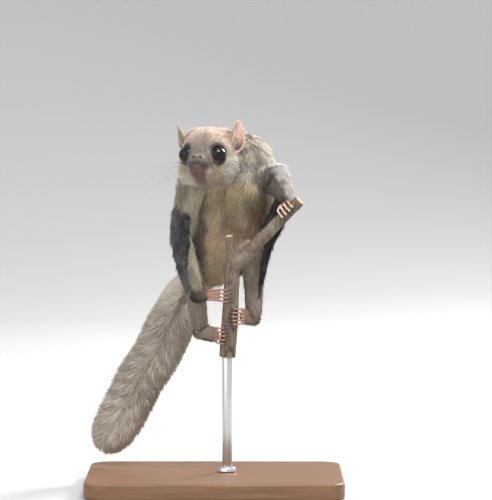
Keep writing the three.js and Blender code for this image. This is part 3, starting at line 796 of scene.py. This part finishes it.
def sampleSkin(density):
    # hair roots spread evenly over the skin: corner indexes and their shares for each root
    skin["mesh"].calc_loop_triangles()
    corners = readRows(skin["mesh"].loop_triangles, "vertices", 3, np.int32)
    a, b, c = (skin["co"][corners[:, i]] for i in range(3))
    area = np.linalg.norm(np.cross(b - a, c - a), axis=1) / 2 / mm ** 2
    total = np.cumsum(area * density[corners].mean(axis=1))
    count = int(total[-1])
    picks = np.searchsorted(total, (np.arange(count) + draws.random(count)) * total[-1] / count)
    picks = np.minimum(picks, len(corners) - 1)
    u, v = draws.random(count), draws.random(count)
    flip = u + v > 1
    u[flip], v[flip] = 1 - u[flip], 1 - v[flip]
    return corners[picks], np.stack([1 - u - v, u, v], axis=1)


def coatDensity():
    co, out, node, h = (skin[key] for key in ("co", "out", "node", "h"))
    # none on the lids, the nose and the line of the mouth
    nose = np.linalg.norm((h - np.array([0, 18.4, -3.3])) / [1.1, 1, 0.9], axis=1)
    density = skin["plan"][:, 4] * ramp(headMasks(h)["eye"], 4.9, 5.5) * ramp(nose, 2, 2.6)
    density *= 1 - skin["isHead"] * bell(skin["toMouth"], 0.35)
    reach = pawReach(co, node)
    for name, paw in paws.items():
        # none on the pads that hold the twig, nor on the far half of the digits
        mine, axis = onNodes(node, name), unit(np.array(paw["axis"], float))
        away = co - np.array(paw["at"]) * mm
        away = unit(away - (away @ axis)[:, None] * axis)
        density = np.where(mine, density * ramp(np.sum(out * away, axis=1), -0.45, 0), density)
        palm = np.linalg.norm(np.subtract(paw["palm"], paw["wrist"]))
        density *= 1 - mine * ramp((reach - 1) * palm, 2, 4)
    # none where the coat would stand straight off or into a blunt end
    blunt = np.abs(np.sum(unit(skin["lie"]) * out, axis=1))
    density *= 1 - onNodes(node, "hand", "foot", "shin", "fore_arm") * ramp(blunt, 0.72, 0.92)
    return density * ~skin["buried"] * np.where(onNodes(node, "tail_lower"), 0.6, 1)


coatHair = {"stray": 0.13, "guards": 0.14, "guardLength": 1.35, "guardWidth": 0.55, "lowest": 3,
            "highest": 60, "under": 0.6, "tip": 1.08}


def growCoat():
    corners, share = sampleSkin(coatDensity())

    def read(values):
        return np.einsum("ij,ij...->i...", share, values[corners])

    root, out, lie, plan, colours = (read(skin[key]) for key in ("co", "out", "lie", "plan", "colours"))
    out = unit(out)
    count = len(root)
    clump = read(np.stack([0.6 * waviness(skin["co"], 4, k) + 0.5 * waviness(skin["co"], 11, k + 10)
                           for k in (3, 4, 5)], axis=1))
    # fine flecks on the head, where the hair is shortest
    fleck = read(1 + 0.3 * skin["isHead"] * waviness(skin["co"], 0.9, 12))[:, None]
    lie = alongSurface(lie + clump + draws.normal(0, coatHair["stray"], (count, 3)), out)
    vary = draws.normal(0, 1, (count, 3))
    guard = draws.random(count) < coatHair["guards"]
    length = plan[:, 1] * (1 + 0.18 * vary[:, 0]) * np.where(guard, coatHair["guardLength"], 1) * mm
    width = plan[:, 2] * (1 + 0.15 * vary[:, 1]) * np.where(guard, coatHair["guardWidth"], 1) * mm
    lift = plan[:, 3] * (1 + 0.3 * vary[:, 2]) + clump[:, 0] * 6 + 4
    lift = np.clip(lift, coatHair["lowest"], coatHair["highest"])
    tone = (1 + 0.09 * draws.normal(0, 1, count))[:, None] * (1 + 0.1 * clump[:, 1:2]) * fleck
    seat = skin["chart"][corners[:, 0]] + draws.random((count, 2)) * 0.002
    growTufts("coat", root - out * tuft["rootDepth"] * mm, out, lie, length, width, lift,
              colours * coatHair["under"] * tone, colours * tone * coatHair["tip"], seat)


growCoat()


# tail: side hair that lies along it and spreads to both edges

tailHair = {"count": 26000, "half": 13.6, "rootHalf": 8.4, "beyond": 9.5, "rounding": 22, "longest": 15,
            "width": 0.5, "spread": 50, "rows": 19}


def tailHalf(place, whole):
    # half the width of the tail's outline at a place along it, in millimetres
    half = np.interp(place / whole, [0, 0.35, 1], [tailHair["rootHalf"], tailHair["half"], tailHair["half"]])
    past = np.clip((place - whole + tailHair["rounding"]) / tailHair["rounding"], 0, 1)
    return half * np.sqrt(1 - past ** 2)


def growTail():
    n, steps = tailHair["count"], 400
    line = np.array([alongLine(tailLine, i / steps) for i in range(steps + 1)])
    ahead = unit(np.gradient(line, axis=0))
    side = unit(np.array(tailSide) - ahead * (ahead @ np.array(tailSide))[:, None])
    face = np.cross(side, ahead)
    way = np.concatenate([[0], np.cumsum(np.linalg.norm(np.diff(line, axis=0), axis=1))])
    t = 0.02 + 0.98 * (np.arange(n) + draws.random(n)) / n
    at = (t * steps).astype(int).clip(0, steps)
    across = draws.uniform(-1, 1, n)
    across = np.sign(across) * np.abs(across) ** (0.6 + 0.5 * ramp(t, 0.8, 0.95))
    front = np.where(draws.random(n) < 0.5, 1, -1)
    coreHalf = np.interp(t, [0, 0.15, 0.85, 1], [5, 4.2, 4, 3])
    coreDeep = np.interp(t, [0, 0.15, 0.85, 1], [3.4, 2.3, 2, 1.5])
    rise = np.sqrt(np.maximum(1 - across ** 2, 0))
    root = (line[at] + side[at] * (across * coreHalf * 0.92)[:, None]
            + face[at] * (rise * front * coreDeep * 0.85)[:, None])
    out = unit(face[at] * (front * (0.45 + rise))[:, None] + side[at] * (across * 0.08)[:, None])
    wave = np.array([noise.noise(Vector((a * 60, b * 2, 0))) for a, b in zip(t, across)])
    spread = np.radians(tailHair["spread"]) * np.sign(across) * np.abs(across) ** 0.7
    spread += draws.normal(0, 0.07, n) + 0.12 * wave
    lie = ahead[at] * np.cos(spread)[:, None] + side[at] * np.sin(spread)[:, None]
    # each hair runs on until the tail's outline, or as far as it can
    reach = np.arange(1, 2 * tailHair["longest"] + 1)[:, None] / 2
    inside = (np.abs(across * coreHalf + reach * np.sin(spread))
              < tailHalf(way[at] + reach * np.cos(spread), way[-1] + tailHair["beyond"]))
    length = np.maximum(np.cumprod(inside, axis=0).sum(axis=0) / 2, 2) * draws.uniform(0.84, 1.03, n)
    length *= 0.55 + 0.45 * np.maximum(np.abs(across), ramp(t, 0.75, 0.9))
    # pale streaks where the tips of one row lie over the next
    streak = (0.5 + 0.5 * np.sin(t * tau * tailHair["rows"] + wave * 3)) ** 2.4
    # the root of the tail is painted paler: partly its cream underside, partly painted light
    colours = painted(allOver(n, 158, 144, 129), (streak * (0.35 + 0.65 * np.abs(across)), (226, 217, 203)),
                      (ramp(0.36 - t, 0, 0.26), (238, 230, 213)), (0.75 * ramp(t, 0.72, 1), (206, 196, 179)))
    colours = colours * (1 + 0.09 * draws.normal(0, 1, (n, 1)))
    tips = painted(colours, (0.4 * np.abs(across), (196, 186, 171)))
    seat = np.stack([0.25 + 0.2 * across + 0.5 * (front > 0), 0.82 + 0.16 * t], axis=1)
    width = np.full(n, tailHair["width"]) * mm * (1 + 0.15 * draws.normal(0, 1, n))
    lift = np.clip(draws.normal(6, 3, n), 1, 20)
    growTufts("tail_hair", root * mm, out, alongSurface(lie, out), length * mm, width, lift, colours * 0.7,
              tips, seat, rings=3, bend=1.2, softness=0.12)


growTail()


# ears: thin cupped leaves, almost bare inside

earShape = {"length": 17, "width": 14, "thick": 0.7, "base": 1.12, "narrowing": 0.74, "rootRoll": 2.4,
            "tipRoll": 0.9, "behind": 5.5, "above": 6, "forward": 6}
# the right ear's tone of 0.68 paints the whole ear darker: painted shade
earPlace = {"left": {"hand": -1, "apart": 12, "lean": 7, "outward": 44, "tone": 1},
            "right": {"hand": 1, "apart": 7.6, "lean": 31, "outward": 76, "tone": 0.68}}
earHair = {"count": 2400, "length": 0.95, "width": 0.16, "lift": 14.0}
earLook = newLook("ear_skin", "skinColour", 0.55, 0.3, size=900, strength=0.12,
                  under=(0.35, (1.0, 0.35, 0.2), 1.2 * mm))


def makeEar(side):
    place = earPlace[side]
    hand = place["hand"]
    stand = (headFrame @ Matrix.Translation((hand * place["apart"], -earShape["behind"], earShape["above"]))
             @ Matrix.Rotation(hand * radians(place["lean"]), 4, "Y")
             @ Matrix.Rotation(radians(earShape["forward"]), 4, "X")
             @ Matrix.Rotation(-hand * radians(place["outward"]), 4, "Z")
             @ Matrix.Rotation(pi / 2, 4, "X"))
    bm = bmesh.new()
    leaf = []
    for vertex in bmesh.ops.create_uvsphere(bm, u_segments=56, v_segments=40, radius=1)["verts"]:
        # x runs across the leaf, y from its root to its tip, z from its inside to its outside
        x, y, z = vertex.co.x, vertex.co.z, -vertex.co.y
        leaf.append((x, y, z))
        up = (y + 1) / 2
        half = earShape["width"] / 2 * (earShape["base"] - earShape["narrowing"] * up)
        roll = earShape["rootRoll"] + (earShape["tipRoll"] - earShape["rootRoll"]) * up
        radius = half / roll + z * earShape["thick"] / 2
        vertex.co = stand @ Vector((radius * sin(x * roll), up * earShape["length"],
                                    radius * cos(x * roll) - half / roll))
    mesh = pieceFrom(bm, f"ear_shell_{side}", earLook, "skin", f"ear_{side}").data
    # pale rim; painted shade in the hollow, darkest down in its root and behind the front edge
    x, y, z = np.array(leaf).T
    edge = ramp(np.hypot(x, y), 0.86, 0.98)
    hollow = (1 - edge) * ramp(-z, -0.1, 0.3)
    shadedSlit = hollow * bell(x * hand + 0.62, 0.24) * ramp(y, -0.7, 0.2)
    # the outer face of the rolled front edge is painted dark: painted shade
    roll = ramp(z, -0.1, 0.3) * fall(x * hand, -0.6, -0.3) * fall(y, 0.3, 0.9)
    colours = painted(allOver(len(leaf), 204, 176, 158), (hollow * 0.7, (186, 150, 134)),
                      (hollow * fall(y, -0.8, 0.1), (92, 66, 58)), (roll * 0.8, (112, 86, 80)),
                      (shadedSlit * 1.2, (96, 68, 60)), (edge * 0.8, (222, 196, 178))) * place["tone"]
    addColours(mesh, "skinColour", colours)
    # short hair, thinnest in the hollow; the faces are sorted, so that every run draws the same
    co, n = points(mesh), earHair["count"]
    faces = [tuple(p.vertices) for p in mesh.polygons]
    faces = sorted(min(face[i:] + face[:i] for i in range(len(face))) for face in faces)
    corners = np.array([(face[0], face[i], face[i + 1]) for face in faces for i in range(1, len(face) - 1)])
    a, b, c = (co[corners[:, i]] for i in range(3))
    weight = np.linalg.norm(np.cross(b - a, c - a), axis=1) * (1 - 0.88 * hollow[corners[:, 0]])
    picks = corners[draws.choice(len(corners), n, p=weight / weight.sum())]
    share = draws.dirichlet((1, 1, 1), n)
    root, face = (np.einsum("ij,ijk->ik", share, values[picks]) for values in (co, normals(mesh)))
    face = unit(face)
    tipwards = np.array(stand.to_3x3() @ Vector((0, 1, 0)))
    lie = alongSurface(tipwards / np.linalg.norm(tipwards) + draws.normal(0, 0.2, (n, 3)), face)
    tone = colours[picks[:, 0]] * (1 + 0.15 * draws.normal(0, 1, (n, 1)))
    # the leaf's own chart: across and up, its two faces side by side
    seat = np.stack([0.02 + 0.09 * (x + 1) / 2 + 0.1 * (z > 0), 0.86 + 0.1 * (y + 1) / 2], axis=1)
    seat = seat[picks[:, 0]]
    length, width, lift = (np.full(n, earHair[key]) for key in ("length", "width", "lift"))
    growTufts(f"ear_hair_{side}", root, face, lie, length * mm, width * mm, lift, tone * 0.85, tone * 1.05,
              seat, softness=0.7)


for side in earPlace:
    makeEar(side)
print("ears ready")


# eyes and lids

eyeLook = newLook("eye", (0.003, 0.0022, 0.002), 0.03, 0.32)
lidLook = newLook("lid_skin", screenColour(44, 35, 32), 0.42, 0.35, size=1500, strength=0.15, bump=0.1)
lidShape = {"thick": 0.72, "reach": 0.98, "ahead": 0.2, "corner": 0.7, "cornerBack": 0.9}


def makeEye(side, hand):
    out, up = radians(eyeShape["outward"]), radians(eyeShape["upward"])
    axis = Vector(headTurn @ unit(np.array([hand * sin(out), cos(out), sin(up)])))
    turn = Vector((0, 0, 1)).rotation_difference(axis).to_matrix().to_4x4()
    stand = Matrix.Translation(Vector(fromHead(eyeCentre(hand)))) @ turn
    radius = eyeShape["radius"] * mm
    bm = bmesh.new()
    bmesh.ops.create_uvsphere(bm, u_segments=64, v_segments=44, radius=radius)
    for vertex in bm.verts:
        # the cornea stands a little proud
        vertex.co.z *= 1 + 0.05 * max(vertex.co.z / radius, 0) ** 2
    bmesh.ops.transform(bm, matrix=stand, verts=bm.verts)
    pieceFrom(bm, f"eyeball_{side}", eyeLook, "eye", f"eye_{side}")
    # two lids: a ring that is drawn out to the corner next to the nose
    bm = bmesh.new()
    bmesh.ops.create_circle(bm, segments=14, radius=lidShape["thick"] * mm)
    bmesh.ops.rotate(bm, verts=bm.verts, cent=(0, 0, 0), matrix=Matrix.Rotation(pi / 2, 3, "X"))
    bmesh.ops.translate(bm, verts=bm.verts, vec=(eyeShape["radius"] * lidShape["reach"] * mm, 0, 0))
    bmesh.ops.spin(bm, geom=bm.verts[:] + bm.edges[:], cent=(0, 0, 0), axis=(0, 0, 1), angle=2 * pi,
                   steps=72, use_merge=True)
    bmesh.ops.remove_doubles(bm, verts=bm.verts, dist=1e-7)
    towardsNose = (turn.to_3x3().inverted() @ Vector(headTurn @ np.array([-hand, 0.9, -0.5])))
    towardsNose.z = 0
    towardsNose.normalize()
    for vertex in bm.verts:
        flat = Vector((vertex.co.x, vertex.co.y, 0)).normalized()
        corner = max(flat.dot(towardsNose), 0) ** 6
        vertex.co += flat * corner * lidShape["corner"] * mm
        vertex.co.z += (lidShape["ahead"] * eyeShape["radius"] - corner * lidShape["cornerBack"]) * mm
    bmesh.ops.transform(bm, matrix=stand, verts=bm.verts)
    pieceFrom(bm, f"lids_{side}", lidLook, "fur_dark")


makeEye("left", -1)
makeEye("right", 1)


# nose

noseLook = newLook("nose_skin", "skinColour", 0.35, size=2500, bump=0.08)
noseShape = {"half": (2.75, 1.75, 1.75), "ahead": 18.1, "above": -3,
             "nostril": [(1.2, 19.6, -3.4), (1.75, 19.3, -2.7), (2.4, 18.6, -3.1)],
             "cleft": [(0, 19.8, -3), (0, 19.4, -4), (0, 18.6, -4.8)]}


def makeNose():
    bm = bmesh.new()
    wide, deep, high = noseShape["half"]
    for vertex in bmesh.ops.create_uvsphere(bm, u_segments=48, v_segments=36, radius=1)["verts"]:
        x, y, z = vertex.co
        vertex.co = (x * wide * (1 + 0.1 * z), noseShape["ahead"] + y * deep, noseShape["above"] + z * high)
    mesh = meshOf(bm, "nose")
    h = points(mesh)
    holes = np.maximum(*(bell(distanceToLine(h, [(hand * x, y, z) for x, y, z in noseShape["nostril"]]), 0.62)
                         for hand in (1, -1)))
    cleft = bell(distanceToLine(h, noseShape["cleft"]), 0.25)
    setPoints(mesh, fromHead(h - normals(mesh) * (holes * 0.75 + cleft * 0.35)[:, None]))
    # the nostrils and the cleft are painted dark: painted shade in these hollows
    addColours(mesh, "skinColour", painted(allOver(len(h), 122, 105, 98), (cleft * 0.6, (60, 42, 40)),
                                           (holes * 1.3, (16, 11, 11))))
    pieceOf(mesh, "nose", noseLook, "skin")


makeNose()


# whiskers and claws

whiskerLook = newLook("whisker", (0.09, 0.075, 0.065), 0.4, 0.4)
clawLook = newLook("claw", screenColour(70, 54, 46), 0.35, size=900, strength=0.2)
whiskerShape = {"rows": 4, "columns": 4, "brows": 3, "half": 0.042, "browHalf": 0.07, "browLength": 9}


def whisker(bm, root, aim, length, droop, half, shares, **form):
    # one hair that tapers and sinks by its droop
    stations = [(Vector(fromHead(root + aim * length * s + droop * s * s)), half * (1 - 0.85 * s) * mm)
                for s in shares]
    sweep(bm, stations, sides=5, **form)


def makeWhiskers():
    bm = bmesh.new()
    for hand in (-1, 1):
        for row in range(whiskerShape["rows"]):
            for column in range(whiskerShape["columns"]):
                root = np.array([hand * (2.6 + 0.75 * column), 15.8 - 1.25 * column, -3.4 - 0.7 * row])
                aim = np.array([hand * (0.95 + 0.05 * column), 0.5 - 0.32 * column, 0.12 - 0.22 * row])
                aim = unit(aim + draws.normal(0, 0.07, 3))
                length = (13 + 4.2 * column) * (1 + 0.12 * draws.normal())
                droop = np.array([0, -0.35, -0.5]) * length * 0.3
                whisker(bm, root, aim, length, droop, whiskerShape["half"], (0, 0.25, 0.5, 0.75, 1), rings=14,
                        side=(0, 0.3, 1), capShare=0.06)
        for brow in range(whiskerShape["brows"]):
            aim = unit(np.array([hand * 0.5, 0.5, 0.8]) + draws.normal(0, 0.1, 3))
            whisker(bm, np.array([hand * (5.5 + brow), 7 - brow, 7.4]), aim, whiskerShape["browLength"],
                    np.array([0, -2.5, 0]), whiskerShape["browHalf"], (0, 0.5, 1), rings=10, capShare=0.08)
    pieceFrom(bm, "whiskers", whiskerLook, "fur_dark")


def makeClaws():
    bm = bmesh.new()
    for paw in paws.values():
        for digit in range(paw["count"]):
            sweep(bm, digitLine(paw, digit)[1], sides=12, rings=22, side=paw["axis"], capShare=0.06)
    pieceFrom(bm, "claws", clawLook, "fur_dark")


makeWhiskers()
makeClaws()
print("eyes, nose, whiskers and claws ready")


# perch: ridged bark, cut ends with pale wood

perchLook = newLook("bark", "skinColour", 0.85, 0.25, size=900, strength=0.28, bump=0.35,
                    stretch=(1, 1, 0.35))
# ends: the middle of each cut face and the way it looks
perchShape = {"voxel": 0.4, "ridge": 0.17, "knot": 0.3, "ringsEach": 9,
              "ends": [((6, 2.5, 64), (0, 0, -1)), ((6.8, 0.6, 123), (-0.15, -0.07, 1)),
                       ((41, -7.2, 140.5), (0.69, -0.18, 0.7))]}


def makePerch():
    mesh = joined(mergedCopy(["perch"]), "twig", perchShape["voxel"])
    co = points(mesh)
    cut, rings = np.zeros(len(co)), np.zeros(len(co))
    for place, axis in perchShape["ends"]:
        ahead = (co / mm - place) @ unit(np.array(axis, float))
        cut = np.maximum(cut, ramp(ahead, -0.25, 0.15) * (np.linalg.norm(co / mm - place, axis=1) < 7))
    co = spreadOut(co, edgesOf(mesh), 8, share=0.5 * (1 - cut))
    setPoints(mesh, co)
    ridges = waviness(co * [1, 1, 0.25], 1.3, 6) + 0.5 * waviness(co * [1, 1, 0.4], 0.6, 7)
    knots = ramp(waviness(co, 6, 8), 0.25, 0.6)
    relief = (ridges * perchShape["ridge"] + knots * perchShape["knot"] - 0.1) * (1 - cut)
    setPoints(mesh, co + normals(mesh) * relief[:, None] * mm)
    colours = painted(allOver(len(co), 112, 98, 84), (ramp(-ridges, 0, 0.5) * 0.7, (66, 56, 48)),
                      (ramp(waviness(co, 9, 9), 0.1, 0.5) * 0.5, (138, 132, 116)))
    for place, _ in perchShape["ends"]:
        rings = np.maximum(rings, 0.5 + 0.5 * np.sin(
            np.linalg.norm(co / mm - place, axis=1) * perchShape["ringsEach"]))
    pale = screenColour(204, 178, 138) * (1 - 0.25 * rings[:, None])
    addColours(mesh, "skinColour", colours * (1 - cut[:, None]) + pale * cut[:, None])
    pieceOf(mesh, "twig", perchLook, "bark", "perch")


makePerch()


# display stand

standLook = newLook("stand_wood", screenColour(116, 84, 58), 0.45, 0.4, size=60, strength=0.22, bump=0.05,
                    stretch=(0.6, 9, 9))
rodLook = newLook("stand_metal", (0.62, 0.62, 0.63), 0.28, metallic=1.0)
standShape = {"corner": 10, "edge": 1.2, "rod": 2.4, "rodEdge": 0.3, "collar": 4.6, "collarTop": 0.86,
              "collarHigh": 2.2}


def rounded(bm, edges, offset, segments):
    bmesh.ops.bevel(bm, geom=edges, offset=offset * mm, segments=segments, profile=0.5, affect="EDGES",
                    material=-1)


def makeStand():
    low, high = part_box("stand_base")
    bm = bmesh.new()
    bmesh.ops.create_cube(bm, size=1)
    bmesh.ops.scale(bm, vec=high - low, verts=bm.verts)
    bmesh.ops.translate(bm, vec=(low + high) / 2, verts=bm.verts)
    rounded(bm, [e for e in bm.edges if abs(e.verts[0].co.z - e.verts[1].co.z) > 1 * mm],
            standShape["corner"], 10)
    rounded(bm, [e for e in bm.edges if abs(e.verts[0].co.z - e.verts[1].co.z) < 1e-6], standShape["edge"], 4)
    pieceFrom(bm, "base_board", standLook, "stand_wood", "stand_base", smooth=False)
    low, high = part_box("stand_rod")
    middle = (low + high) / 2
    bm = bmesh.new()
    rod, collar, tall = (standShape[key] * mm for key in ("rod", "collar", "collarHigh"))
    for radius, top, depth, place in (
            (rod, rod, high.z - low.z, middle),
            (collar, collar * standShape["collarTop"], tall, (middle.x, middle.y, low.z + tall / 2))):
        bmesh.ops.create_cone(bm, cap_ends=True, segments=48, radius1=radius, radius2=top, depth=depth,
                              matrix=Matrix.Translation(place))
    rounded(bm, [e for e in bm.edges if len(e.link_faces) == 2 and e.calc_face_angle(0) > 0.8],
            standShape["rodEdge"], 2)
    pieceFrom(bm, "rod", rodLook, "stand_metal", "stand_rod")


makeStand()
print("perch and stand ready")


# floor, light and camera

studio = {"near": -2.2, "far": 2.5, "wide": 6.0, "curve": 1.4, "high": 2.4, "colour": (0.5, 0.497, 0.49),
          "room": (0.95, 0.97, 1.0), "roomStrength": 0.9}
view = {"aim": (15.1, 12, 115.6), "distance": 1500, "above": 3, "frame": 240, "sensor": 36}
lamps = {
    "key": {"place": (0.3, -0.62, 1.35), "size": 0.8, "power": 20, "colour": (1.0, 0.985, 0.96)},
    "fill": {"place": (-1.0, -1.1, 0.6), "size": 2.2, "power": 11, "colour": (0.96, 0.98, 1.0)},
    "rim": {"place": (0.75, 0.85, 0.75), "size": 0.5, "power": 22, "colour": (1.0, 0.99, 0.97)},
}


def makeFloor():
    bm = bmesh.new()
    far, curve = studio["far"], studio["curve"]
    profile = [(studio["near"], 0), (far - curve, 0)]
    profile += [(far - curve * (1 - sin(a)), curve * (1 - cos(a)))
                for a in np.linspace(0, pi / 2, 13)[1:]]
    profile += [(far, studio["high"])]
    row = [bm.verts.new((-studio["wide"] / 2, y, z)) for y, z in profile]
    edges = [bm.edges.new(pair) for pair in zip(row, row[1:])]
    swept = bmesh.ops.extrude_edge_only(bm, edges=edges)["geom"]
    bmesh.ops.translate(bm, vec=(studio["wide"], 0, 0),
                        verts=[g for g in swept if isinstance(g, bmesh.types.BMVert)])
    pieceFrom(bm, "floor", newLook("floor", studio["colour"], 0.9, 0.1))


def aimAt(thing, place):
    thing.location = place
    target = Vector(view["aim"]) * mm
    thing.rotation_euler = (target - Vector(place)).to_track_quat("-Z", "Y").to_euler()


def makeLamps():
    for name, lamp in lamps.items():
        light = bpy.data.lights.new(name, "AREA")
        light.shape = "DISK"
        light.size, light.energy, light.color = lamp["size"], lamp["power"], lamp["colour"]
        aimAt(newObject(name, light), lamp["place"])
    world = bpy.data.worlds.new("room")
    world.use_nodes = True
    room = world.node_tree.nodes["Background"].inputs
    room["Color"].default_value = (*studio["room"], 1)
    room["Strength"].default_value = studio["roomStrength"]
    bpy.context.scene.world = world


def makeCamera():
    data = bpy.data.cameras.new("camera")
    data.sensor_fit = "HORIZONTAL"
    data.sensor_width = view["sensor"]
    data.lens = view["sensor"] * view["distance"] / view["frame"]
    camera = newObject("camera", data)
    rise = radians(view["above"])
    away = Vector((0, -cos(rise), sin(rise))) * view["distance"]
    aimAt(camera, (Vector(view["aim"]) + away) * mm)
    bpy.context.scene.camera = camera


makeFloor()
makeLamps()
makeCamera()
bpy.context.scene.view_settings.view_transform = "Standard"
